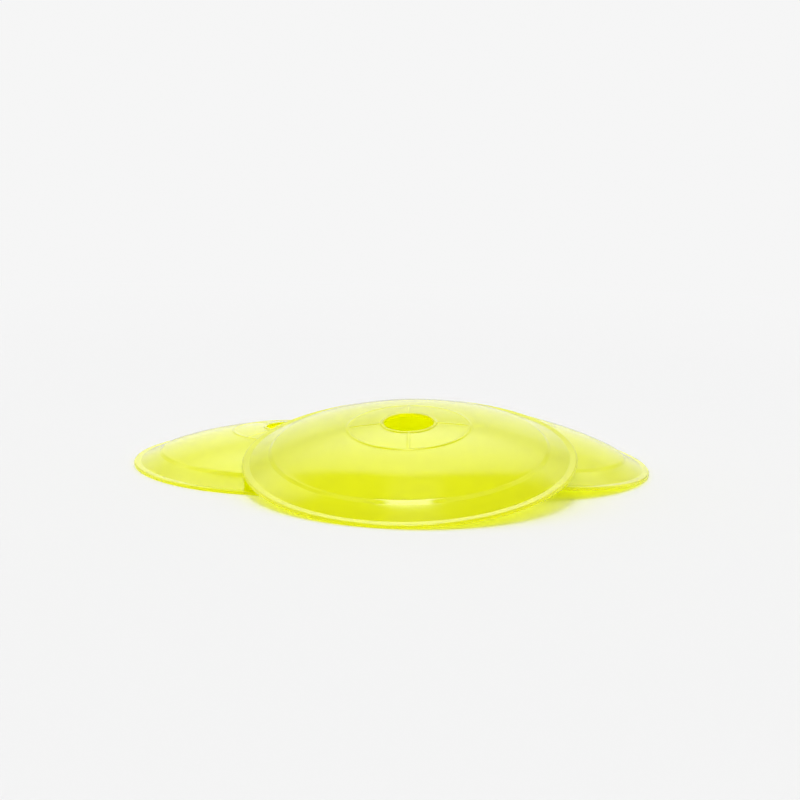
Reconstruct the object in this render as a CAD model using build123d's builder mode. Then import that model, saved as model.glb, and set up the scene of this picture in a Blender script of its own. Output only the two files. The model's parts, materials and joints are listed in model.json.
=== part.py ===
from build123d import *
import os
from math import atan2, cos, degrees, radians, sin, sqrt

import numpy as np

# Three low marker discs in a heap: one flat on the floor, one leaning on it from the right, and one in
# front, on both. All three are the same moulding: a thin dome with a stepped flange, a solid rim with a
# flat land, a collared centre hole, and a ring and spokes raised on the crown. Lengths are in
# millimetres, angles in degrees. The origin is on the floor, under the middle of the heap.

# The moulding, from the rim inwards and from the floor up
rim_radius = 100.0
flange_width = 16.0
step_width = 2.0
wall = 1.5
lip_drop = 0.4
lip_width = 5.5
land_width = 4.5
flange_rise = 4.7
step_rise = 1.7
dome_rise = 14.2

# The crown
hole_radius = 15.0
collar_width = 1.6
collar_height = 0.6
ring_radius = 36.4
rib_width = 2.1
rib_height = 0.5
spoke_count = 4

# Edges of the moulding: the shoulder is rounded, and the rim, the collar and the ring are broken
shoulder_round = 1.6
rim_break = 0.9
collar_break = 0.4
rib_break = 0.25

# The heap: the leaning discs' centres from the flat one's, in plan, how far each disc is turned about
# its own axis, and the clearance where one rests on another
right_x = 133.7
right_y = -3.9
front_x = 77.8
front_y = -69.4
left_turn = -43.0
right_turn = 70.0
front_turn = 0.0
seat_clearance = 0.3

# Corners of the top skin, and the sphere that the dome is part of
foot_radius = rim_radius - flange_width
shoulder_radius = foot_radius - step_width
rim_height = wall + lip_drop
foot_height = rim_height + flange_rise
shoulder_height = foot_height + step_rise
dome_height = shoulder_height + dome_rise
dome_radius = (shoulder_radius**2 + dome_rise**2) / (2 * dome_rise)
dome_centre = dome_height - dome_radius
collar_middle = hole_radius + collar_width / 2
rib_root = wall / 2


def dome_at(radius):
    """Height of the dome's top skin at a radius."""
    return dome_centre + sqrt(dome_radius**2 - radius**2)


def corner(radius, height):
    """The section's corner nearest to a point."""
    return section.vertices().sort_by_distance((radius, height))[0]


def raise_rib(radius, width, height, edge_break):
    """A rib of the section, rooted in the skin, with its two top edges broken."""
    crest = dome_at(radius) + height
    with Locations((radius, crest - (height + rib_root) / 2)):
        Rectangle(width, height + rib_root)
    for side in (radius - width / 2, radius + width / 2):
        chamfer(corner(side, crest), edge_break)


# Section of the skin from the axis out to the land on the rim, thickened downwards by the wall, with the
# lip that the disc stands on, the collar round the hole and the ring on the crown
with BuildSketch(Plane.XZ) as section:
    with BuildLine():
        dome = ThreePointArc(
            (0, dome_height),
            (shoulder_radius / 2, dome_at(shoulder_radius / 2)),
            (shoulder_radius, shoulder_height),
        )
        step = Line(dome @ 1, (foot_radius, foot_height))
        flange = Line(step @ 1, (rim_radius - land_width, rim_height))
        Line(flange @ 1, (rim_radius, rim_height))
        offset(amount=wall, kind=Kind.INTERSECTION, side=Side.RIGHT)
    make_face()
    with Locations((rim_radius - lip_width / 2, rim_height / 2)):
        Rectangle(lip_width, rim_height)
    fillet(corner(shoulder_radius, shoulder_height), shoulder_round)
    chamfer(corner(rim_radius, rim_height), rim_break)
    raise_rib(collar_middle, collar_width, collar_height, collar_break)
    raise_rib(ring_radius, rib_width, rib_height, rib_break)

# Spokes from the collar to the ring, rooted in the skin and as high as the ring
with BuildPart() as spokes:
    with BuildSketch(Plane.XZ.offset(rib_width / 2)):
        with Locations((0, dome_centre)):
            Circle(dome_radius + rib_height)
            Circle(dome_radius - rib_root, mode=Mode.SUBTRACT)
        with Locations(((collar_middle + ring_radius) / 2, dome_height)):
            Rectangle(ring_radius - collar_middle, 2 * dome_height, mode=Mode.INTERSECT)
    spoke = extrude(amount=-rib_width, mode=Mode.PRIVATE)
    with PolarLocations(0, spoke_count):
        add(spoke)

# The whole disc, about Z, with its rim on the XY plane
with BuildPart() as disc:
    revolve(section.sketch, axis=Axis.Z)
    add(spokes.part)
    Hole(hole_radius)

# Heights of the disc's top and underside, ring by ring, for settling one disc on another
ring_pitch = 0.5
samples_per_ring = 8
bearing_step = 3.0
ring_count = int(rim_radius / ring_pitch) + 1
outline = section.sketch.faces()[0].outer_wire()
outline_count = int(samples_per_ring * outline.length / ring_pitch)
outline_points = [outline @ (i / outline_count) for i in range(outline_count)]
outline_radius = np.array([point.X for point in outline_points])
outline_height = np.array([point.Z for point in outline_points])
top = np.full(ring_count, -dome_height)
under = np.full(ring_count, dome_height)
np.maximum.at(top, (outline_radius / ring_pitch).astype(int), outline_height)
np.minimum.at(under, (outline_radius / ring_pitch).astype(int), outline_height)
first_ring = int(hole_radius / ring_pitch)
ring_radii = (np.arange(first_ring, ring_count) + 0.5) * ring_pitch
bearings = np.radians(np.arange(0, 360, bearing_step))
for ring in range(first_ring, int(ring_radius / ring_pitch)):
    top[ring] = max(top[ring], dome_at(ring * ring_pitch) + rib_height)


def surface(heights):
    """Points of one side of the disc, all round each ring."""
    across = np.outer(ring_radii, np.cos(bearings))
    along = np.outer(ring_radii, np.sin(bearings))
    up = np.outer(heights[first_ring:], np.ones_like(bearings))
    return np.stack((across, along, up), axis=-1).reshape(-1, 3)


top_points = surface(top)
under_points = surface(under)


def seen_from(points, place, other):
    """Points of a disc in one place, in the axes of a disc in another."""
    axes = np.array([tuple(place.x_dir), tuple(place.y_dir), tuple(place.z_dir)])
    other_axes = np.array([tuple(other.x_dir), tuple(other.y_dir), tuple(other.z_dir)])
    return (points @ axes + np.array(tuple(place.origin - other.origin))) @ other_axes.T


def height_over(points, heights):
    """Heights of points over one side of a disc, where they lie over it at all."""
    ring = (np.hypot(points[:, 0], points[:, 1]) / ring_pitch).astype(int)
    over = (ring >= first_ring) & (ring < ring_count)
    return points[over, 2] - heights[ring[over]]


def gap(upper, lower):
    """Least height of the upper disc's underside over the lower disc's top."""
    above = height_over(seen_from(under_points, upper, lower), top)
    below = height_over(seen_from(top_points, lower, upper), under)
    return min(above.min(initial=rim_radius), -below.max(initial=-rim_radius))


def seat(x, y, turn, low_side=0.0, lean=0.0):
    """Plane of the rim of a disc that leans towards its low side, where the rim meets the floor."""
    tip = radians(lean)
    bearing = radians(low_side)
    rise = max(outline_radius * sin(tip) - outline_height * cos(tip))
    return Plane(
        (x, y, rise),
        x_dir=(cos(radians(turn)), sin(radians(turn)), 0),
        z_dir=(sin(tip) * cos(bearing), sin(tip) * sin(bearing), cos(tip)),
    )


halvings = 14
steepest_lean = 40.0


def lean_on(lower, x, y, low_side):
    """Least lean towards the low side that clears a lower disc by the seat clearance."""
    too_flat, clear = 0.0, steepest_lean
    for _ in range(halvings):
        lean = (too_flat + clear) / 2
        if gap(seat(x, y, 0, low_side, lean), lower) < seat_clearance:
            too_flat = lean
        else:
            clear = lean
    return clear


# The left disc lies flat. The right one leans on it along the line of their centres.
left_seat = seat(0, 0, left_turn)
right_low_side = degrees(atan2(right_y, right_x))
right_lean = lean_on(left_seat, right_x, right_y, right_low_side)
right_seat = seat(right_x, right_y, right_turn, right_low_side, right_lean)

# The front one's low side swings until it touches both of the others at one lean
away = degrees(atan2(front_y - right_y / 2, front_x - right_x / 2))
front_swing = 60.0
least, most = away - front_swing, away + front_swing
for _ in range(halvings):
    front_low_side = (least + most) / 2
    lean_on_left = lean_on(left_seat, front_x, front_y, front_low_side)
    lean_on_right = lean_on(right_seat, front_x, front_y, front_low_side)
    if lean_on_left > lean_on_right:
        least = front_low_side
    else:
        most = front_low_side
front_lean = max(lean_on_left, lean_on_right)
front_seat = seat(front_x, front_y, front_turn, front_low_side, front_lean)
print(f"right disc leans {right_lean:.2f} towards {right_low_side:.1f}")
print(f"front disc leans {front_lean:.2f} towards {front_low_side:.1f}")

seats = {"left_marker": left_seat, "right_marker": right_seat, "front_marker": front_seat}


def reach(direction):
    """How far the heap reaches in a direction."""
    reaches = []
    for place in seats.values():
        lift = place.z_dir.dot(direction)
        edge = outline_height * lift + outline_radius * sqrt(1 - lift**2)
        reaches.append(place.origin.dot(direction) + max(edge))
    return max(reaches)


# Three copies of the disc, each on its own seat, with the middle of the heap over the origin
middle_x = (reach(Vector(1, 0, 0)) - reach(Vector(-1, 0, 0))) / 2
middle_y = (reach(Vector(0, 1, 0)) - reach(Vector(0, -1, 0))) / 2
middle = Vector(middle_x, middle_y, 0)
os.makedirs("parts", exist_ok=True)
for name, place in seats.items():
    with BuildPart() as marker:
        with Locations(Plane(place.origin - middle, place.x_dir, place.z_dir)):
            add(disc.part)
    marker.part.label = name
    export_step(marker.part, f"parts/{name}.step")
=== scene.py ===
import json
import math

import bpy
from mathutils import Matrix, Vector


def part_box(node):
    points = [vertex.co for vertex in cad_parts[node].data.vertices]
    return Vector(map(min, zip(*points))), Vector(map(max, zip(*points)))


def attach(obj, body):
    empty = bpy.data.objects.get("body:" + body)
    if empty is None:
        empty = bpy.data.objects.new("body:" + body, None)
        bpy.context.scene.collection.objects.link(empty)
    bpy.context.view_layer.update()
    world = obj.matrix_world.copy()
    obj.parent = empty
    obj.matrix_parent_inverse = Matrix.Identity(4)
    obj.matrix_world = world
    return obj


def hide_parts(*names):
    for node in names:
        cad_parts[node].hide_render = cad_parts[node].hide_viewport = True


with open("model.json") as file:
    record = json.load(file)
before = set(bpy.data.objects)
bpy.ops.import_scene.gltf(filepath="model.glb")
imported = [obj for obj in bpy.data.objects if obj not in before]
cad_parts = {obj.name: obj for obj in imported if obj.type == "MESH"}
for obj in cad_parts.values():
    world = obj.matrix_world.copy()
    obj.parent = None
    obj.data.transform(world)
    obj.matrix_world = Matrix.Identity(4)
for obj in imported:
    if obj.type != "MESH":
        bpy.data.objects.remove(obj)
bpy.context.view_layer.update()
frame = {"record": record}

# Left marker
# A low domed disc, injection moulded in one piece from soft fluorescent yellow plastic that lets light
# through. It lies flat and loose on the lip of its rim. All three discs share the skin drawn here.

# Sizes in millimetres, from the rim in and from the floor up, then those of the crown
MM = 0.001
rim_radius = 100.0
rim_height = 1.9
land_width = 4.5
lip_width = 5.5
lip_height = 0.7
foot_radius = 84.0
foot_height = 6.6
shoulder_radius = 82.0
shoulder_height = 8.3
dome_height = 22.5
wall = 1.5
hole_radius = 15.0
collar_width = 1.6
collar_height = 0.6
ring_radius = 36.4
rib_height = 0.34
rib_foot = 1.5
spoke_count = 4

# Rounds of the section's edges, and the slope that lets the moulding out of its tool
lip_inner_round = 0.15
lip_outer_round = 0.3
rim_round = 1.2
land_round = 0.8
foot_round = 0.7
under_foot_round = 0.6
shoulder_round = 2.5
collar_round = 0.5
draft = 0.06

# The sphere that the dome is part of
dome_rise = dome_height - shoulder_height
dome_radius = (shoulder_radius**2 + dome_rise**2) / (2 * dome_rise)
dome_centre = dome_height - dome_radius


def dome_at(radius, inset=0.0):
    """Height of the dome at a radius, on its top skin or inset below it."""
    return dome_centre + math.sqrt((dome_radius - inset) ** 2 - radius**2)


def along_dome(first, last, steps, inset=0.0):
    """Sharp corners along the dome between two radii."""
    radii = [first + (last - first) * k / steps for k in range(steps + 1)]
    return [(r, dome_at(r, inset), 0.0) for r in radii]


def rib_rise(offset):
    """Height of a rib of the crown across its width, with the soft edges of a shallow mould cut."""
    if abs(offset) >= rib_foot:
        return 0.0
    return rib_height * (1 + math.cos(math.pi * offset / rib_foot)) / 2


def rounded(corners):
    """A line through corners (radius, height, round), with each corner rounded by an arc."""
    degrees_per_step = 9
    fewest_steps = 3
    line = []
    for i, (radius, height, size) in enumerate(corners):
        here = Vector((radius, height))
        if size == 0 or i in (0, len(corners) - 1):
            line.append(here)
            continue
        back = (Vector(corners[i - 1][:2]) - here).normalized()
        on = (Vector(corners[i + 1][:2]) - here).normalized()
        half = back.angle(on) / 2
        centre = here + (back + on).normalized() * size / math.sin(half)
        start = here + back * size / math.tan(half)
        end = here + on * size / math.tan(half)
        sweep = (start - centre).angle_signed(end - centre)
        steps = max(fewest_steps, round(abs(math.degrees(sweep)) / degrees_per_step))
        for k in range(steps + 1):
            turned = Matrix.Rotation(-sweep * k / steps, 2) @ (start - centre)
            line.append(centre + turned)
    return line


# The section, from the hole's lower edge out under the skin to the lip, up over the rim and back over
# the land, the flange, the step, the dome, the ring and the collar to the hole
under_shoulder = shoulder_radius - 0.9
under_foot = foot_radius - 0.8
under_foot_height = foot_height - 1.3
under_lip = rim_radius - lip_width
collar_middle = hole_radius + collar_width / 2
collar_out = hole_radius + collar_width
under_rows = 22
dome_rows = 26
crown_rows = 16
rib_rows = 6
rib_offsets = [rib_foot * k / rib_rows for k in range(rib_rows, -rib_rows - 1, -1)]
section = rounded(
    along_dome(hole_radius, under_shoulder, under_rows, wall)
    + [
        (under_foot, under_foot_height, under_foot_round),
        (under_lip - draft, lip_height, 0.0),
        (under_lip, 0.0, lip_inner_round),
        (rim_radius, 0.0, lip_outer_round),
        (rim_radius, rim_height, rim_round),
        (rim_radius - land_width, rim_height, land_round),
        (foot_radius, foot_height, foot_round),
        (shoulder_radius, shoulder_height, shoulder_round),
    ]
    + along_dome(shoulder_radius - shoulder_round, ring_radius + 2 * rib_foot, dome_rows)
    + [(ring_radius + w, dome_at(ring_radius + w) + rib_rise(w), 0.0) for w in rib_offsets]
    + along_dome(ring_radius - 2 * rib_foot, collar_out + draft, crown_rows)
    + [
        (collar_out, dome_at(collar_out) + collar_height, collar_round),
        (hole_radius, dome_at(hole_radius) + collar_height, collar_round),
        (hole_radius, dome_at(hole_radius) - wall / 2, 0.0),
    ]
)

# Lines from the hole out to the rim: close together over each spoke, then evenly round to the next
line_gap = 0.25
lines_beside = 7
open_lines = 17
spoke_edge = line_gap * lines_beside
spoke_offsets = [line_gap * k for k in range(-lines_beside, lines_beside + 1)]
quarter = 2 * math.pi / spoke_count


def bearings(radius):
    """Bearing of each line at one radius, and its offset from the nearest spoke."""
    lines = []
    edge = math.asin(spoke_edge / radius)
    for spoke in range(spoke_count):
        lines += [(spoke * quarter + math.asin(w / radius), w) for w in spoke_offsets]
        for k in range(1, open_lines):
            lines.append((spoke * quarter + edge + (quarter - 2 * edge) * k / open_lines, spoke_edge))
    return lines


vertices = []
for point in section:
    on_top = point.y > dome_at(point.x) - wall / 2
    ribbed = on_top and collar_middle < point.x < ring_radius
    for bearing, offset in bearings(point.x):
        height = point.y
        if ribbed:
            height = max(height, dome_at(point.x) + rib_rise(offset))
        spot = Vector((point.x * math.cos(bearing), point.x * math.sin(bearing), height))
        vertices.append(spot * MM)
across = len(vertices) // len(section)
faces = []
for row in range(len(section)):
    here = row * across
    there = (row + 1) % len(section) * across
    for k in range(across):
        on = (k + 1) % across
        faces.append((here + k, here + on, there + on, there + k))
skin = bpy.data.meshes.new("marker_skin")
skin.from_pydata(vertices, [], faces)
skin.update()
for face in skin.polygons:
    face.use_smooth = True


def add_node(tree, kind, feeds):
    """A new node, with each named input set to a plain value or joined to the output that feeds it."""
    node = tree.nodes.new(kind)
    for name, value in feeds.items():
        if isinstance(value, bpy.types.NodeSocket):
            tree.links.new(value, node.inputs[name])
        else:
            node.inputs[name].default_value = value
    return node


def sum_of(tree, operation, first, second):
    """A sum with two values, each a number or the output of a node."""
    node = add_node(tree, "ShaderNodeMath", {0: first, 1: second})
    node.operation = operation
    return node.outputs["Value"]


def mix(tree, share, first, second):
    """Two shaders mixed, by the share of the second."""
    return add_node(tree, "ShaderNodeMixShader", {"Fac": share, 1: first, 2: second}).outputs["Shader"]


# Glossy soft plastic, dyed all through. The mould leaves slow waves about 20 mm long and a fine grain of
# about 1 mm, which also makes the polish uneven.
yellow = (0.896, 0.902, 0.001, 1)
plastic_ior = 1.5
plastic = bpy.data.materials.new("yellow_plastic")
plastic.use_nodes = True
tree = plastic.node_tree
place = add_node(tree, "ShaderNodeNewGeometry", {})
position = place.outputs["Position"]
waves = add_node(tree, "ShaderNodeTexNoise", {"Vector": position, "Scale": 45.0, "Detail": 1.0})
grain = add_node(tree, "ShaderNodeTexNoise", {"Vector": position, "Scale": 900.0, "Detail": 3.0})
swell = add_node(
    tree,
    "ShaderNodeBump",
    {"Height": waves.outputs["Fac"], "Strength": 0.05, "Distance": 0.002},
)
pores = add_node(
    tree,
    "ShaderNodeBump",
    {
        "Height": grain.outputs["Fac"],
        "Strength": 0.03,
        "Distance": 0.0001,
        "Normal": swell.outputs["Normal"],
    },
)
relief = pores.outputs["Normal"]
polish = add_node(
    tree,
    "ShaderNodeMapRange",
    {"Value": grain.outputs["Fac"], "To Min": 0.03, "To Max": 0.08},
).outputs["Result"]

# A fifth of the light comes back out of the side of the skin that it went into
skin_shader = tree.nodes["Principled BSDF"]
skin_shader.inputs["Base Color"].default_value = yellow
skin_shader.inputs["IOR"].default_value = plastic_ior
tree.links.new(polish, skin_shader.inputs["Roughness"])
tree.links.new(relief, skin_shader.inputs["Normal"])

# The rest is scattered on through it, so the hollows glow, under the same gloss on the outside
through_share = 0.8
through = add_node(tree, "ShaderNodeBsdfTranslucent", {"Color": yellow, "Normal": relief})
shine = add_node(tree, "ShaderNodeBsdfGlossy", {"Roughness": polish, "Normal": relief})
glance = add_node(tree, "ShaderNodeFresnel", {"IOR": plastic_ior, "Normal": relief})
outside = sum_of(tree, "SUBTRACT", 1.0, place.outputs["Backfacing"])
gleam = sum_of(tree, "MULTIPLY", glance.outputs["Fac"], outside)
lit = mix(tree, gleam, through.outputs["BSDF"], shine.outputs["BSDF"])
blend = mix(tree, through_share, skin_shader.outputs["BSDF"], lit)

# Shadows are light and yellow, because some of the light goes straight through to the floor
straight_share = 0.7
straight = add_node(tree, "ShaderNodeBsdfTransparent", {"Color": (0.87, 0.92, 0.2, 1)})
path = add_node(tree, "ShaderNodeLightPath", {})
passed = sum_of(tree, "MULTIPLY", path.outputs["Is Shadow Ray"], straight_share)
cast = mix(tree, passed, blend, straight.outputs["BSDF"])
tree.links.new(cast, tree.nodes["Material Output"].inputs["Surface"])
skin.materials.append(plastic)

# The middle of the hole's wall, over the floor of the moulding. In the solid, the edge of the collar is
# broken, so the wall ends a little lower.
collar_break = 0.4
collar_top = dome_at(collar_middle) + collar_height
hole_middle = (collar_top - collar_break + dome_at(hole_radius, wall)) / 2


def set_down(name, node, body, hole_mount, turn):
    """One disc, turned by degrees about its axis and put where the mount of its solid's hole is."""
    mount = next(m for m in frame["record"]["mounts"] if m["name"] == hole_mount)
    axis = Vector(mount["axis"]).normalized()
    if axis.z < 0:
        axis.negate()
    foot = Vector(mount["pos_m"]) - axis * hole_middle * MM
    ahead = Vector((math.cos(math.radians(turn)), math.sin(math.radians(turn)), 0))
    ahead = (ahead - axis * ahead.dot(axis)).normalized()
    upright = Matrix((ahead, axis.cross(ahead), axis)).transposed().to_4x4()
    placed = skin.copy()
    placed.transform(Matrix.Translation(foot) @ upright)
    disc = bpy.data.objects.new(name, placed)
    bpy.context.scene.collection.objects.link(disc)
    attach(disc, body)
    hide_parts(node)


set_down("left_disc", "left_marker", "left", "left_hole", turn=-43)

# Right marker
# The same moulding in the same plastic. It lies loose, leaning on the left disc, with the right side of
# its rim on the floor.
set_down("right_disc", "right_marker", "right", "right_hole", turn=70)

# Front marker
# The same moulding in the same plastic. It lies loose on both of the others, with the front of its rim
# on the floor.
set_down("front_disc", "front_marker", "front", "front_hole", turn=0)

# Floor
# A wide sheet of white paper under the discs. It keeps their shadows and the yellow light that comes
# through them, and further off it runs into the white of the studio with no edge.
floor_radius = 6.0
floor_drop = 0.0002
floor_sides = 64
fade_start = 0.35
fade_end = 1.6
paper_white = (0.735, 0.735, 0.735, 1)
backdrop_white = (0.92, 0.92, 0.92, 1)
floor_edge = []
for k in range(floor_sides):
    angle = 2 * math.pi * k / floor_sides
    floor_edge.append((floor_radius * math.cos(angle), floor_radius * math.sin(angle), -floor_drop))
floor_sheet = bpy.data.meshes.new("floor_sheet")
floor_sheet.from_pydata(floor_edge, [], [tuple(range(floor_sides))])
floor = bpy.data.objects.new("floor", floor_sheet)
bpy.context.scene.collection.objects.link(floor)


def rise(tree, value, start, end):
    """A smooth rise from 0 at the start to 1 at the end."""
    ease = add_node(tree, "ShaderNodeMapRange", {"Value": value, "From Min": start, "From Max": end})
    ease.interpolation_type = "SMOOTHSTEP"
    return ease.outputs["Result"]


paper = bpy.data.materials.new("white_paper")
paper.use_nodes = True
tree = paper.node_tree
sheet = tree.nodes["Principled BSDF"]
sheet.inputs["Base Color"].default_value = paper_white
sheet.inputs["Roughness"].default_value = 0.9
sheet.inputs["Specular IOR Level"].default_value = 0.0
far = add_node(tree, "ShaderNodeEmission", {"Color": backdrop_white})
place = add_node(tree, "ShaderNodeNewGeometry", {})
length = add_node(tree, "ShaderNodeVectorMath", {0: place.outputs["Position"]})
length.operation = "LENGTH"
fade = rise(tree, length.outputs["Value"], fade_start, fade_end)
path = add_node(tree, "ShaderNodeLightPath", {})
seen = sum_of(tree, "MULTIPLY", fade, path.outputs["Is Camera Ray"])
runs_out = mix(tree, seen, sheet.outputs["BSDF"], far.outputs["Emission"])
tree.links.new(runs_out, tree.nodes["Material Output"].inputs["Surface"])
floor_sheet.materials.append(paper)

# Studio light
# A dim room with softboxes of plain white light behind the heap, overhead and at both sides. The domes
# mirror them, and their light shines through the plastic. The camera sees an even white backdrop.
world = bpy.data.worlds.new("studio")
bpy.context.scene.world = world
world.use_nodes = True
tree = world.node_tree
sky = tree.nodes["Background"]
sky.inputs["Color"].default_value = (1, 1, 1, 1)
towards = add_node(tree, "ShaderNodeTexCoord", {})
parts = add_node(tree, "ShaderNodeSeparateXYZ", {"Vector": towards.outputs["Generated"]})

# How far round each direction is, over the top, from the camera's horizon to the backdrop's
to_camera = sum_of(tree, "MULTIPLY", parts.outputs["Y"], -1.0)
over = sum_of(tree, "ARCTAN2", parts.outputs["Z"], to_camera)


def softbox(strength, start, end, edge, middle, full, none, bend=0.0):
    """A panel of light between two angles over the top, in degrees. It is full near its middle and fades
    to none at its sides. Its near edge is soft and bends back towards them, and its far edge is softer."""
    aside = sum_of(tree, "ABSOLUTE", sum_of(tree, "SUBTRACT", parts.outputs["X"], middle), 0.0)
    bow = sum_of(tree, "MULTIPLY", sum_of(tree, "MULTIPLY", aside, aside), bend)
    bent = sum_of(tree, "SUBTRACT", over, bow)
    near = rise(tree, bent, math.radians(start - edge), math.radians(start + edge))
    back = rise(tree, over, math.radians(end + 3 * edge), math.radians(end - 3 * edge))
    band = sum_of(tree, "MULTIPLY", near, back)
    panel = sum_of(tree, "MULTIPLY", band, rise(tree, aside, none, full))
    return sum_of(tree, "MULTIPLY", panel, strength)


# The back of the room is brighter than the front
room = 0.26
back_strength = 0.4
back_of_room = rise(tree, over, start=math.radians(122), end=math.radians(134))
lights = [
    sum_of(tree, "MULTIPLY", back_of_room, back_strength),
    # Low on the backdrop, for the top of the crown
    softbox(strength=0.6, start=151, end=195, edge=7, middle=0.0, full=0.15, none=0.6),
    # High over the backdrop, the largest: its near edge is the line across the front dome
    softbox(strength=1.9, start=118, end=146, edge=2.5, middle=0.0, full=0.0, none=0.6, bend=1.6),
    # Wide and overhead, for the step and the rim
    softbox(strength=0.7, start=70, end=98, edge=3, middle=0.0, full=0.5, none=0.8),
    # A bright strip in its middle, for the highlight on the front shoulder
    softbox(strength=7.5, start=67, end=98, edge=1, middle=-0.05, full=0.14, none=0.22),
    # A faint one behind the strip, for the front of the flange
    softbox(strength=0.4, start=90, end=117, edge=2, middle=-0.02, full=0.06, none=0.14),
]
# Two pairs at the sides, for the ends of the flange and the sides of the dome
for side in (-1, 1):
    lights.append(softbox(1.0, start=100, end=140, edge=4, middle=0.55 * side, full=0.1, none=0.17))
    lights.append(softbox(0.9, start=60, end=150, edge=8, middle=0.95 * side, full=0.15, none=0.3))
brightness = room
for light in lights:
    brightness = sum_of(tree, "ADD", brightness, light)
tree.links.new(brightness, sky.inputs["Strength"])
backdrop = add_node(tree, "ShaderNodeBackground", {"Color": backdrop_white})
path = add_node(tree, "ShaderNodeLightPath", {})
seen = path.outputs["Is Camera Ray"]
studio = mix(tree, seen, sky.outputs["Background"], backdrop.outputs["Background"])
tree.links.new(studio, tree.nodes["World Output"].inputs["Surface"])

# Camera
# A normal lens, low in front of the heap, placed from the middle of the flat disc. The picture is turned
# a little, so its right side hangs.
picture_width = 800
focal_pixels = 1281.7
pitch = 0.1636
roll = 0.0207
eye_distance = 1087.48
aim_right = 71.48
aim_back = 250.55
camera_data = bpy.data.cameras.new("camera")
camera_data.sensor_width = 36.0
camera_data.lens = focal_pixels / picture_width * camera_data.sensor_width
camera = bpy.data.objects.new("camera", camera_data)
bpy.context.scene.collection.objects.link(camera)
low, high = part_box("left_marker")
flat_middle = Vector(((low.x + high.x) / 2, (low.y + high.y) / 2, 0))
aim = flat_middle + Vector((aim_right, aim_back, 0)) * MM
ahead = Vector((0, math.cos(pitch), -math.sin(pitch)))
eye = aim - ahead * eye_distance * MM
facing = Matrix.Rotation(math.pi / 2 - pitch, 4, "X") @ Matrix.Rotation(roll, 4, "Z")
camera.matrix_world = Matrix.Translation(eye) @ facing
bpy.context.scene.camera = camera
bpy.context.scene.view_settings.view_transform = "Standard"
